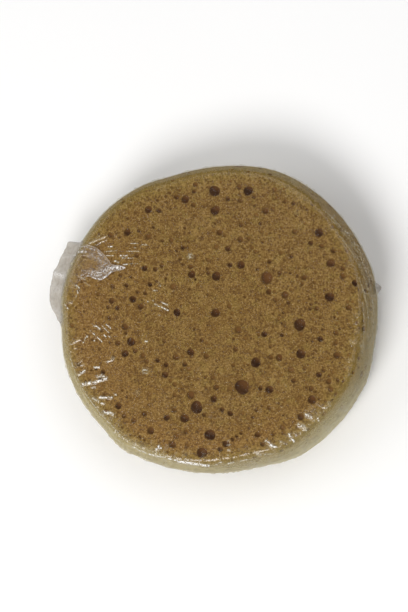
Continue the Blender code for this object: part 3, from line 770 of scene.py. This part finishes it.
def film_half(half, segments, draw):
    """For one half: points, triangles, milkiness, whiteness with painted highlights, and rim numbers.
    """
    loose = lattice(half, FILM_STEP, film_spacing, draw, 0.1)
    holes = []
    if not half.upper:
        turn = np.arange(SLIT_SIDES) * 2 * math.pi / SLIT_SIDES
        lens = np.stack([np.cos(turn) * SLIT_SIZE[0], np.sin(turn) * SLIT_SIZE[1]], -1) / 2
        holes.append((lens + SLIT_MIDDLE) * MM)
        away = (loose / MM - SLIT_MIDDLE) / (np.array(SLIT_SIZE) / 2 + 0.3)
        loose = loose[np.hypot(away[:, 0], away[:, 1]) > 1]
    laid, faces, (rim, *_) = filled(rim_loop(half), holes, loose)
    if not half.upper:
        faces = [face[::-1] for face in faces]
    lift, white_and_glint = strokes_at(laid, segments)
    rest = half.point(laid, FILM_INSET)
    wave = noise_at(rest, WAVE_SIZE, 1, 3.3) * WAVE * MM
    if not half.upper:
        lift = np.minimum(lift, MOST_LIFT_BELOW)
    points = half.point(laid, FILM_INSET - lift - wave)
    level = np.hypot(points[:, 0], points[:, 1])
    out = bulge(bearings_of(points), points[:, 2] / MM) * MM
    points[:, :2] *= (1 + out / np.maximum(level, 1 * MM))[:, None]
    if half.upper:
        milk = milk_of_side(laid)
    else:
        # the side's milk fades inwards, and the gathers make some of their own towards the slit
        rim_milk = closed_curve([row[:2] for row in MILK], bearings_of(laid))
        away = np.hypot(*(laid / MM - SLIT_MIDDLE).T)
        under = 0.10 + 0.25 * (1 - smooth_step(8, 34, away))
        inner = smooth_step(-3 * MM, 8 * MM, half.past_edge(laid))
        milk = under * (1 - inner) + rim_milk * inner
    milk = np.maximum(milk, np.clip(out / MM, 0, 1) * NUB_MILK)
    return points, faces, np.stack([milk, white_and_glint], -1), rim


def make_film_skin():
    draw = np.random.default_rng(13)
    points, faces, looks, rim = film_half(upper_half, folds_above, draw)
    more = film_half(lower_half, folds_below, draw)
    faces = faces + sewn_on(more[1], more[3], rim, len(points))
    points = np.concatenate([points, more[0]])
    milk, white_and_glint = np.concatenate([looks, more[2]]).T
    twisted = (bulge(bearings_of(points), points[:, 2] / MM) > 0.2)[np.array(faces)].all(1)
    looks = {"milk": milk, "white_and_glint": white_and_glint}
    return mesh_object("film_skin", points, faces, looks, ["clear_film", "twisted_film"], twisted)


film_skin = make_film_skin()

# %% [markdown]
# At the left the film's spare width is bunched into a tail that stands 5 mm out from the side, and
# a tongue of it is folded back over the face. The tail is two pleated sheets, one inside the
# other, so that its milkiness comes from layers, as the real one's does. Each is a grid of
# bearings and ways down the side, pushed out by the tail's own profile and by its pleats. Sheets
# of clear film are kept few, because a ray passes only a limited number of them.

# %% The gathered tail
TAIL_ROWS = 58
TAIL_COLUMNS = 110
TAIL_PLEATS = 9
OUTER_SHARE = 0.95
INNER_SHARE = 0.6


def side_point(bearing, past, outset):
    """Points on the side at arrays of bearings and of ways past the face's edge, pushed out."""
    turn_over = upper_half.shoulder + upper_half.wall
    above = upper_half.beyond(bearing, np.minimum(past, turn_over))
    below = lower_half.laid_out(bearing, lower_half.edge(bearing) - np.maximum(past - turn_over, 0))
    high, low = upper_half.point(above, FILM_INSET), lower_half.point(below, FILM_INSET)
    points = np.where((past <= turn_over)[:, None], high, low)
    level = np.hypot(points[:, 0], points[:, 1])
    points[:, :2] *= (1 + outset / level)[:, None]
    return points


def grid_faces(rows, columns):
    faces = []
    for row in range(rows - 1):
        for column in range(columns - 1):
            a = row * columns + column
            faces.append((a, a + 1, a + columns + 1))
            faces.append((a, a + columns + 1, a + columns))
    return faces


def tail_sheet(share, seed):
    """One pleated sheet of the tail. share is how far out it reaches of the whole tail."""
    draw = random.Random(seed)
    start, full, still_full, gone = TAIL_BEARINGS
    across = np.linspace(start - 0.6, gone, TAIL_COLUMNS)
    down = np.linspace(4.0 - 1.2 * share, 21.0, TAIL_ROWS) * MM
    bearing, past = (grid.ravel() for grid in np.meshgrid(across, down))
    height = side_point(bearing, past, np.zeros(len(past)))[:, 2] / MM
    # the tail narrows towards the floor
    narrow = smooth_step(19, 7, height)
    begins, stops = start + 6 * narrow, gone - 9 * narrow
    reach = smooth_step(begins, begins + full - start, bearing)
    reach = reach * (1 - smooth_step(stops - gone + still_full, stops, bearing))
    body = reach * bell(height - TAIL_HEIGHT, TAIL_HALF_HEIGHT) * TAIL_REACH * share
    pleats = np.zeros(len(bearing))
    for _ in range(TAIL_PLEATS):
        centre, lean = draw.uniform(start + 2, gone - 3), draw.uniform(-3, 3)
        width, lift = draw.uniform(0.6, 1.5), draw.uniform(0.25, 0.7)
        drift = bearing - centre - lean * (height - TAIL_HEIGHT) / TAIL_HALF_HEIGHT
        pleats += lift * np.exp(-((drift / width) ** 2))
    stretched = np.stack([bearing * 0.9, height * 0.12, np.full(len(bearing), share * 9)], -1) * MM
    crumple = noise_at(stretched, 1.1, 2, seed) * 0.16
    outset = body + (pleats * 0.8 + crumple) * np.clip(body / 1.2, 0, 1)
    points = side_point(bearing, past, (outset + 0.12 * share) * MM)
    # the milk fades out at the sheet's four edges, raggedly at the lowest
    ends = smooth_step(begins - 0.6, begins + 0.4 + 3 * narrow, bearing)
    ends = ends * smooth_step(stops, stops - 5 - 4 * narrow, bearing)
    edge_fade = ends * smooth_step(3.0, 8.0, past / MM) * smooth_step(21, 14, past / MM - pleats * 3)
    faces = grid_faces(TAIL_ROWS, TAIL_COLUMNS)
    return points, faces, edge_fade, np.clip(pleats, 0, 1) * edge_fade


def make_tail():
    outer, inner = tail_sheet(OUTER_SHARE, 2), tail_sheet(INNER_SHARE, 9)
    points, milk, white_and_glint = (np.concatenate([outer[i], inner[i]]) for i in (0, 2, 3))
    faces = outer[1] + [tuple(i + len(outer[0]) for i in face) for face in inner[1]]
    looks = {"milk": milk * 0.66, "white_and_glint": white_and_glint * 0.75}
    return mesh_object("film_tail", points, faces, looks, ["bunched_film"])


film_tail = make_tail()

# %% [markdown]
# The tongue is drawn as an outline on the flat disc, filled with a fine triangulation and laid a
# little above the skin. Its free edge is rolled, so it stands up most and catches the light, and
# its lower edge is crumpled white.

# %% The tongue folded over the face
TONGUE_STEP = 0.34 * MM
TONGUE_ABOVE = 0.16 * MM
EDGE_WIDTH = 0.35 * MM
EDGE_ROLL = 0.28  # mm

# x and y in mm from the face's middle, as the camera sees them
TONGUE = (
    (-51.6, 24.6), (-50.6, 26.2), (-48.3, 26.5), (-45.0, 26.1), (-42.8, 25.4), (-40.9, 24.0),
    (-39.2, 22.3), (-37.8, 20.6), (-36.6, 19.0), (-33.8, 18.6), (-31.5, 17.8), (-33.0, 16.8),
    (-36.3, 16.1), (-38.3, 14.4), (-40.7, 13.0), (-42.6, 13.4), (-45.4, 14.4), (-49.0, 12.5),
    (-51.6, 9.4), (-52.6, 12.5), (-52.4, 18.5),
)
# x and y of each point of a fold in turn, then its half-width, lift and whiteness with painted
# highlights, as in FACE_FOLDS
TONGUE_FOLDS = (
    (-45.6, 14.5, -42.6, 13.6, -40.7, 13.4, -38.6, 14.6, -36.9, 16.2, .45, .35, .9),
    (-44.6, 15.8, -41.6, 15.4, -39.4, 16.6, -37.6, 17.8, 1.3, .25, .62),
    (-37.8, 17.4, -34.8, 17.7, -31.9, 17.8, .85, .3, .85),
    (-44, 22.4, -41.6, 21.2, -39.4, 19, 1.5, .12, .3),
    (-48, 24.3, -44.4, 23.2, -42, 21.6, -40.2, 19.6, .25, .15, .45),
    (-41.2, 17.8, -39.2, 19, -38, 19.4, .9, .15, .35), (-49.2, 23.6, -46.4, 23.7, .4, .25, .8),
    (-53.8, 21.4, -50.2, 22.5, .42, .3, .75),
    (-50.4, 25.6, -46, 25.4, -43.4, 24.6, -41, 22.9, -39, 20.6, .42, .25, .5),
    (-48.6, 14.6, -46.2, 15.8, .35, .2, .4), (-47.8, 17, -45, 16.2, .3, .15, .3),
)


def smooth_loop(table, step):
    """A closed loop of flat points along a smooth curve through a table's points."""
    knots = np.array(table, float)
    before, after, beyond = (np.roll(knots, shift, 0) for shift in (1, -1, -2))
    loop = []
    for p0, p1, p2, p3 in zip(before, knots, after, beyond):
        count = max(int(np.hypot(*(p2 - p1)) / step), 1)
        for t in np.arange(count) / count:
            spread = 2 * p1 + (p2 - p0) * t + (2 * p0 - 5 * p1 + 4 * p2 - p3) * t**2
            loop.append((spread + (3 * p1 - p0 - 3 * p2 + p3) * t**3) / 2)
    return upper_half.as_seen(loop)


def patch(half, loop, step, draw, jitter):
    """A patch of film inside a loop: its flat points, triangles and distances to its edge."""
    loose = lattice(half, step, even, draw, jitter)
    loose = loose[((loose > loop.min(0)) & (loose < loop.max(0))).all(1)]
    laid, faces, _ = filled(loop, [], loose)
    gap = np.hypot(laid[:, None, 0] - loop[None, :, 0], laid[:, None, 1] - loop[None, :, 1]).min(1)
    return laid, faces, gap


def make_tongue():
    draw = np.random.default_rng(4)
    laid, faces, gap = patch(upper_half, smooth_loop(TONGUE, 0.3), TONGUE_STEP, draw, 0.15)
    lift, white_and_glint = strokes_at(laid, np.array(segments_in(TONGUE_FOLDS, upper_half.as_seen)))
    rest = upper_half.point(laid, FILM_INSET)
    crumple = np.abs(noise_at(rest, 1.3, 2, 7.7)) * (0.12 + 0.9 * white_and_glint) * 0.3 * MM
    edge = np.exp(-((gap / EDGE_WIDTH) ** 2)) * smooth_step(-52, -48, laid[:, 0] / MM)
    inset = FILM_INSET - TONGUE_ABOVE - lift * 0.8 - crumple - edge * EDGE_ROLL * MM
    points = upper_half.point(laid, inset)
    looks = {"milk": 0.03 + 0.5 * edge, "white_and_glint": white_and_glint}
    return mesh_object("film_tongue", points, faces, looks, ["bunched_film"])


film_tongue = make_tongue()

# %% [markdown]
# Underneath, the film's two edges are drawn together. A strip of the last turn lies across the
# slit, crumpled, with its own free edge.

# %% The lap under the slab
LAP_STEP = 0.7 * MM
LAP_INSET = 0.24 * MM
# x and y of its corners in mm on the flat disc
LAP = (
    (-24.0, -17.0), (-12.0, -14.6), (0.0, -15.8), (13.0, -14.4), (25.0, -17.6), (28.0, -25.0),
    (24.0, -32.5), (11.0, -34.2), (-2.0, -32.6), (-13.0, -34.6), (-25.0, -31.8), (-28.5, -24.0),
)


def make_lap():
    draw = np.random.default_rng(6)
    knots = np.array(LAP) * MM
    sides = zip(knots, np.roll(knots, -1, 0))
    loop = np.array([a + (b - a) * t for a, b in sides for t in np.arange(8) / 8])
    laid, faces, gap = patch(lower_half, loop, LAP_STEP, draw, 0.3)
    crumple = np.abs(noise_at(lower_half.point(laid, FILM_INSET), 3.0, 2, 1.9))
    points = lower_half.point(laid, LAP_INSET - np.minimum(crumple * 0.2, 0.2) * MM)
    milk = 0.22 + 0.25 * np.exp(-((gap / (0.5 * MM)) ** 2))
    looks = {"milk": milk, "white_and_glint": np.clip(crumple * 0.5 - 0.1, 0, 1)}
    return mesh_object("film_lap", points, [face[::-1] for face in faces], looks, ["bunched_film"])


film_lap = make_lap()

# %% [markdown]
# ## Finishes
#
# Small helpers keep the node trees short. `node` adds a node with its settings and its inputs,
# which may be values or other nodes' outputs, and most of the others name one use of it.
# `new_group` starts a node group with named sockets, and `start_material` a material's own tree.

# %% Helpers for node trees
def node(tree, kind, inputs=None, **settings):
    made = tree.nodes.new(kind)
    for name, value in settings.items():
        setattr(made, name, value)
    for name, value in (inputs or {}).items():
        if isinstance(value, bpy.types.NodeSocket):
            tree.links.new(value, made.inputs[name])
        else:
            made.inputs[name].default_value = value
    return made


def math_node(tree, operation, *values, clamp=False):
    inputs = dict(enumerate(values))
    return node(tree, "ShaderNodeMath", inputs, operation=operation, use_clamp=clamp).outputs[0]


def times(tree, first, second):
    return math_node(tree, "MULTIPLY", first, second)


def mix_colour(tree, share, first, second):
    return node(tree, "ShaderNodeMix", {0: share, 6: first, 7: second}, data_type="RGBA").outputs[2]


def between(tree, value, low, high, start=0.0, stop=1.0):
    """A smooth step of a value from low to high, going from start to stop."""
    inputs = {"Value": value, "From Min": low, "From Max": high, "To Min": start, "To Max": stop}
    return node(tree, "ShaderNodeMapRange", inputs, interpolation_type="SMOOTHSTEP").outputs["Result"]


def noise_of(tree, place, scale, detail=2.0, roughness=0.5):
    inputs = {"Vector": place, "Scale": scale, "Detail": detail, "Roughness": roughness}
    return node(tree, "ShaderNodeTexNoise", inputs).outputs["Fac"]


def painted(tree, name):
    """The value of a named attribute of the mesh's points."""
    return node(tree, "ShaderNodeAttribute", attribute_name=name).outputs["Fac"]


def bump_of(tree, height, strength, distance):
    inputs = {"Height": height, "Strength": strength, "Distance": distance}
    return node(tree, "ShaderNodeBump", inputs).outputs[0]


def body_of(tree, colour, rough, specular, bump):
    """A plain opaque surface, for one material's own tree."""
    inputs = {"Base Color": colour, "Roughness": rough, "Specular IOR Level": specular, "Normal": bump}
    return node(tree, "ShaderNodeBsdfPrincipled", inputs).outputs[0]


def new_group(name, inputs, outputs):
    """A shader node group with named sockets. Returns the tree and the outputs of its input node."""
    tree = bpy.data.node_groups.new(name, "ShaderNodeTree")
    for label, default in inputs:
        kind = "NodeSocketVector" if default is None else "NodeSocketFloat"
        socket = tree.interface.new_socket(name=label, in_out="INPUT", socket_type=kind)
        if default is not None:
            socket.default_value = default
    for label in outputs:
        tree.interface.new_socket(name=label, in_out="OUTPUT", socket_type="NodeSocketFloat")
    return tree, tree.nodes.new("NodeGroupInput").outputs


def start_material(name):
    """Empties a material's tree. Returns the tree and the place on the object."""
    material = bpy.data.materials[name]
    material.use_nodes = True
    tree = material.node_tree
    tree.nodes.clear()
    return tree, tree.nodes.new("ShaderNodeTexCoord").outputs["Object"]


def end_material(tree, shader):
    node(tree, "ShaderNodeOutputMaterial", {"Surface": shader})


# %% [markdown]
# The crumb is a felt of fine fibres. From a step away it reads as a sandy speckle of lighter and
# darker grains, with tiny pores too small to be cut in the mesh. These are dips in the bump, and
# the crumb's finish paints them dark, as painted shade. Both the open crumb and the walls of the
# pores have the speckle, so it is a node group, with its own grain size and contrast.

# %% The crumb's speckle, as a group
def crumb_group():
    tree, inputs = new_group(
        "crumb_speckle",
        [("Position", None), ("Grain Size", 0.5), ("Contrast", 1.0)],
        ["Speckle", "Tiny Pores", "Height"],
    )
    place, size, contrast = inputs[0], inputs[1], inputs[2]
    scale = math_node(tree, "DIVIDE", 1000.0, size)
    fine = noise_of(tree, place, scale, 3.0, 0.65)
    coarse = noise_of(tree, place, times(tree, scale, 0.38), 2.0, 0.6)
    both = math_node(tree, "MULTIPLY_ADD", fine, 0.76, times(tree, coarse, 0.24))
    spread = times(tree, math_node(tree, "SUBTRACT", both, 0.5), 3.2)
    speckle = math_node(tree, "MULTIPLY_ADD", spread, contrast, 0.5, clamp=True)
    inputs = {"Vector": place, "Scale": times(tree, scale, 0.36), "Randomness": 1.0}
    cells = node(tree, "ShaderNodeTexVoronoi", inputs, feature="F1").outputs
    chance = node(tree, "ShaderNodeSeparateColor", {0: cells["Color"]}).outputs[0]
    width = between(tree, chance, 0.45, 1.0, 0.0, 0.36)
    # the tiny pores: dips in the bump, and a mask of painted shade for the crumb
    tiny_pore_dip_and_shade = between(tree, math_node(tree, "SUBTRACT", width, cells["Distance"]), -0.02, 0.12)
    height = math_node(tree, "SUBTRACT", speckle, tiny_pore_dip_and_shade)
    node(tree, "NodeGroupOutput", {"Speckle": speckle, "Tiny Pores": tiny_pore_dip_and_shade, "Height": height})
    return tree


crumb_speckle = crumb_group()


def crumb(tree, place, size, contrast):
    inputs = {"Position": place, "Grain Size": size, "Contrast": contrast}
    return node(tree, "ShaderNodeGroup", inputs, node_tree=crumb_speckle).outputs


# %% [markdown]
# The sponge is tan where the film stands off it, and a richer orange-brown where the film clings
# and wets it, at the left and along the lower edge. Past the face's edge it pales to olive and
# beige. At the right and upper right the side is held darker, as painted shade. Those zones are
# soft masks of place, broken up by a broad noise.

# %% The finish of the sponge's crumb
CRUMB_GRAIN = 0.64  # mm
CRUMB_CONTRAST = 1.55
TAN_DARK = (0.098, 0.046, 0.010, 1)
TAN = (0.176, 0.094, 0.0185, 1)
TAN_LIGHT = (0.338, 0.218, 0.069, 1)
WET = (0.226, 0.108, 0.0145, 1)
OLIVE = (0.228, 0.160, 0.029, 1)
SIDE = (0.255, 0.190, 0.055, 1)


def bearing_from(bearing, middle):
    return np.mod(bearing - middle + 180, 360) - 180


def paint_zones():
    """Stores how wet and olive each point of the sponge looks, and its painted shade, from 0 to 1."""
    data = sponge.data
    points = np.empty(len(data.vertices) * 3)
    data.vertices.foreach_get("co", points)
    points = points.reshape(-1, 3)
    x, y = points[:, 0] / MM, points[:, 1] / MM
    bearing = np.mod(np.degrees(np.arctan2(y, x)), 360)
    reach = np.hypot(x, y)
    # wet at the left and along the lower edge, with a cloudy border
    cloud = noise_at(points, 14.0, 2, 2.2) * 0.5
    left = smooth_step(16, 46, reach + cloud * 14) * bell(bearing - 190, 85)
    low = smooth_step(38, 50, reach + cloud * 8) * bell(bearing - 265, 75)
    wet = np.clip(np.maximum(left * 0.8, low) + cloud * 0.25, 0, 1)
    past = reach - upper_half.flat_end(bearing) / MM
    olive = smooth_step(-5, 1.5, past + cloud * 4) * (1 - 0.5 * bell(bearing_from(bearing, 20), 60))
    # painted shade on the side at the right and upper right
    right_side_painted_shade = bell(bearing_from(bearing, 28), 45)
    for label, values in (("wet", wet), ("olive", olive), ("right_side_painted_shade", right_side_painted_shade)):
        store(data, label, values)


def finish_crumb():
    tree, place = start_material("sponge_crumb")
    speckle, tiny_pore_dip_and_shade, height = crumb(tree, place, CRUMB_GRAIN, CRUMB_CONTRAST)
    wet, right_side_painted_shade, past_edge = (painted(tree, name) for name in ("wet", "right_side_painted_shade", "past_edge"))
    blotch = noise_of(tree, place, 130.0, 3.0)
    base = mix_colour(tree, between(tree, blotch, 0.3, 0.7, 0, 0.3), TAN, TAN_LIGHT)
    base = mix_colour(tree, between(tree, blotch, 0.35, 0.6, 0.55, 0.0), base, TAN)
    tint = noise_of(tree, place, 260.0, 1.0)
    base = mix_colour(tree, between(tree, tint, 0.48, 0.68, 0.0, 0.36), base, OLIVE)
    base = mix_colour(tree, times(tree, wet, 0.8), base, WET)
    base = mix_colour(tree, times(tree, painted(tree, "olive"), 0.7), base, OLIVE)
    side = between(tree, past_edge, 2.0, 9.0)
    # under the painted shade the side pales less and is darkened
    pale = between(tree, right_side_painted_shade, 0.0, 1.0, 0.85, 0.1)
    base = mix_colour(tree, times(tree, side, pale), base, SIDE)
    base = mix_colour(tree, times(tree, side, times(tree, right_side_painted_shade, 0.22)), base, TAN_DARK)
    # past the face's edge the crumb is calmer
    calm = between(tree, past_edge, -1.5, 3.5, 1.0, 0.38)
    dark = times(tree, between(tree, speckle, 0.5, 0.0, 0.0, 0.85), calm)
    colour = mix_colour(tree, dark, base, TAN_DARK)
    colour = mix_colour(tree, between(tree, speckle, 0.5, 1.0, 0.0, 0.66), colour, TAN_LIGHT)
    # the tiny pores are painted dark, as painted shade inside them
    colour = mix_colour(tree, times(tree, times(tree, tiny_pore_dip_and_shade, 0.6), calm), colour, TAN_DARK)
    rough = between(tree, wet, 0.0, 1.0, 0.95, 0.7)
    end_material(tree, body_of(tree, colour, rough, 0.25, bump_of(tree, height, 0.5, 0.00025)))


# %% [markdown]
# The walls of the pores are the same felt, cut through. They are smoother and redder than the
# crumb, and darker with depth, which the mesh stores at each point as "hollow". The darkening
# with depth is painted shade.

# %% The finish of the pores' walls
WALL_GRAIN = 0.5  # mm
WALL_CONTRAST = 0.8
PORE_TOP = (0.190, 0.100, 0.021, 1)
PORE_DEEP_SHADE = (0.140, 0.058, 0.014, 1)


def finish_pore_wall():
    tree, place = start_material("pore_wall")
    speckle, _, height = crumb(tree, place, WALL_GRAIN, WALL_CONTRAST)
    # deeper in a hollow the wall is painted darker, as painted shade
    depth = between(tree, painted(tree, "hollow"), 0.0, 0.85)
    colour = mix_colour(tree, depth, PORE_TOP, PORE_DEEP_SHADE)
    colour = mix_colour(tree, between(tree, speckle, 0.35, 1.0, 0.0, 0.35), colour, TAN)
    end_material(tree, body_of(tree, colour, 0.9, 0.2, bump_of(tree, height, 0.4, 0.0002)))


paint_zones()
finish_crumb()
finish_pore_wall()
print("sponge finishes:", [m.name for m in sponge.data.materials])

# %% [markdown]
# Film is clear, so what shows is its gloss, its creases and its milky layers. A glass shader would
# bend light twice in a skin with no thickness. Instead light passes straight through a transparent
# shader, and a milky plastic takes over where the mesh says that the film is bunched. Where the
# strokes whiten it, the plastic turns near-white, which is crumpled film and partly painted
# highlight and glints. Gloss is laid over both by the Fresnel law, held to a few percent, so that
# the lamps don't veil the shoulder. The fine creases are a group, because three finishes use them.

# %% The film's creases, as a group
def crease_group():
    tree, inputs = new_group(
        "film_creases",
        [("Position", None), ("Crease Size", 3.0), ("Milk", 0.0), ("White And Glint", 0.0)],
        ["Cover", "Brightness", "Height"],
    )
    place, size, milk, white_and_glint = inputs[0], inputs[1], inputs[2], inputs[3]
    scale = math_node(tree, "DIVIDE", 1000.0, size)
    bend = noise_of(tree, place, scale, 2.0)
    line = math_node(tree, "ABSOLUTE", math_node(tree, "SUBTRACT", bend, 0.5))
    crease = between(tree, line, 0.0, 0.05, 1.0, 0.0)
    grain = noise_of(tree, place, times(tree, scale, 3.6), 2.0, 0.7)
    # the white streaks: crumpled film, and partly painted highlight and glints
    streak = times(tree, white_and_glint, between(tree, grain, 0.42, 0.58, 0.04, 1.25))
    layers = times(tree, milk, between(tree, bend, 0.3, 0.7, 0.88, 1.1))
    veil = math_node(tree, "MULTIPLY_ADD", times(tree, milk, crease), 0.12, layers)
    cover = math_node(tree, "MAXIMUM", veil, streak, clamp=True)
    height = math_node(tree, "MULTIPLY_ADD", grain, 0.35, crease)
    node(tree, "NodeGroupOutput", {"Cover": cover, "Brightness": streak, "Height": height})
    return tree


film_creases = crease_group()
FILM_IOR = 1.45
FILM_TINT = (0.99, 0.98, 0.95, 1)
FOLD_WHITE_AND_GLINT = (0.86, 0.84, 0.82, 1)
GOLDEN_VEIL = (0.63, 0.548, 0.285, 1)
TWIST_GREY = (0.33, 0.30, 0.26, 1)
BUNCHED_MILK = (0.515, 0.466, 0.40, 1)


def finish_film(name, size, depth, milky, most_gloss):
    """A film finish: its creases' size in mm and depth in metres, its milky colour, and its gloss."""
    tree, place = start_material(name)
    inputs = {"Position": place, "Crease Size": size}
    inputs.update({"Milk": painted(tree, "milk"), "White And Glint": painted(tree, "white_and_glint")})
    creases = node(tree, "ShaderNodeGroup", inputs, node_tree=film_creases).outputs
    bump = bump_of(tree, creases["Height"], 0.5, depth)
    clear = node(tree, "ShaderNodeBsdfTransparent", {"Color": FILM_TINT}).outputs[0]
    # near-white where the strokes whiten the film: crumpled film and painted highlight
    milk = body_of(tree, mix_colour(tree, creases["Brightness"], milky, FOLD_WHITE_AND_GLINT), 0.45, 0.2, bump)
    body = node(tree, "ShaderNodeMixShader", {0: creases["Cover"], 1: clear, 2: milk}).outputs[0]
    # a Fresnel node takes a hit from behind as one inside glass, and would trap the light there
    behind = tree.nodes.new("ShaderNodeNewGeometry").outputs["Backfacing"]
    ior = math_node(tree, "MULTIPLY_ADD", behind, 1 / FILM_IOR - FILM_IOR, FILM_IOR)
    fresnel = node(tree, "ShaderNodeFresnel", {"IOR": ior, "Normal": bump}).outputs[0]
    fresnel = math_node(tree, "MINIMUM", fresnel, most_gloss)
    inputs = {"Color": (1, 1, 1, 1), "Roughness": 0.2, "Normal": bump}
    gloss = node(tree, "ShaderNodeBsdfGlossy", inputs).outputs[0]
    end_material(tree, node(tree, "ShaderNodeMixShader", {0: fresnel, 1: body, 2: gloss}).outputs[0])


finish_film("clear_film", 2.4, 0.00005, GOLDEN_VEIL, 0.045)
finish_film("twisted_film", 1.4, 0.00014, TWIST_GREY, 0.028)
finish_film("bunched_film", 1.8, 0.00014, BUNCHED_MILK, 0.028)
print("film finishes:", [m.name for m in [*film_skin.data.materials, *film_tail.data.materials]])

# %% [markdown]
# Every piece rides on the one body. The slab and the film's skin stand in for the two plain
# solids. The tail, the tongue and the lap are added to them.

# %% Tie the pieces to the solid model
for piece, slot in (
    (sponge, "sponge"), (film_skin, "film"), (film_tail, "film"),
    (film_tongue, "film"), (film_lap, "film"),
):
    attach(piece, "root")
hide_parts("sponge")
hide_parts("film_wrap")

# %% [markdown]
# ## The stage
#
# A pale floor and four soft lights: a key at the lower left, and large ones at the left, the right
# and behind. They stand round the slab, and none is overhead, where the flat film would mirror it
# to the camera and veil the dark pores.

# %% Floor, light and background
FLOOR_REACH = 4.0


def softbox(name, bearing, elevation, distance, size, power, colour=(1, 1, 1)):
    data = bpy.data.lights.new(name, "AREA")
    data.shape = "DISK"
    data.size = size
    data.energy = power
    data.color = colour
    lamp = add_object(name, data)
    a, e = math.radians(bearing), math.radians(elevation)
    away = Vector((math.cos(a) * math.cos(e), math.sin(a) * math.cos(e), math.sin(e)))
    lamp.location = away * distance
    lamp.rotation_mode = "QUATERNION"
    lamp.rotation_quaternion = away.to_track_quat("Z", "Y")


def make_floor():
    corners = [(x * FLOOR_REACH, y * FLOOR_REACH, 0) for x, y in ((-1, -1), (1, -1), (1, 1), (-1, 1))]
    data = bpy.data.meshes.new("floor")
    data.from_pydata(corners, [], [(0, 1, 2, 3)])
    data.materials.append(bpy.data.materials.new("pale_floor"))
    floor = add_object("floor", data)
    tree, place = start_material("pale_floor")
    colour = mix_colour(tree, noise_of(tree, place, 6.0), (0.90, 0.90, 0.90, 1), (0.94, 0.94, 0.935, 1))
    shader = node(tree, "ShaderNodeBsdfPrincipled", {"Base Color": colour, "Roughness": 0.9})
    end_material(tree, shader.outputs[0])


make_floor()
# bearing and elevation in degrees, distance and size in metres, power in watts
softbox("key_light", 252, 55, 1.1, 0.55, 8.2, (1.0, 0.985, 0.97))
softbox("left_light", 172, 40, 1.4, 1.3, 6.0)
softbox("right_light", 15, 50, 1.4, 1.3, 5.0)
softbox("back_light", 80, 52, 1.4, 1.3, 5.0)

world = bpy.data.worlds.new("studio")
bpy.context.scene.world = world
world.use_nodes = True
background = world.node_tree.nodes["Background"]
background.inputs["Color"].default_value = (0.9, 0.92, 0.95, 1)
background.inputs["Strength"].default_value = 0.12
bpy.context.scene.view_settings.view_transform = "Standard"
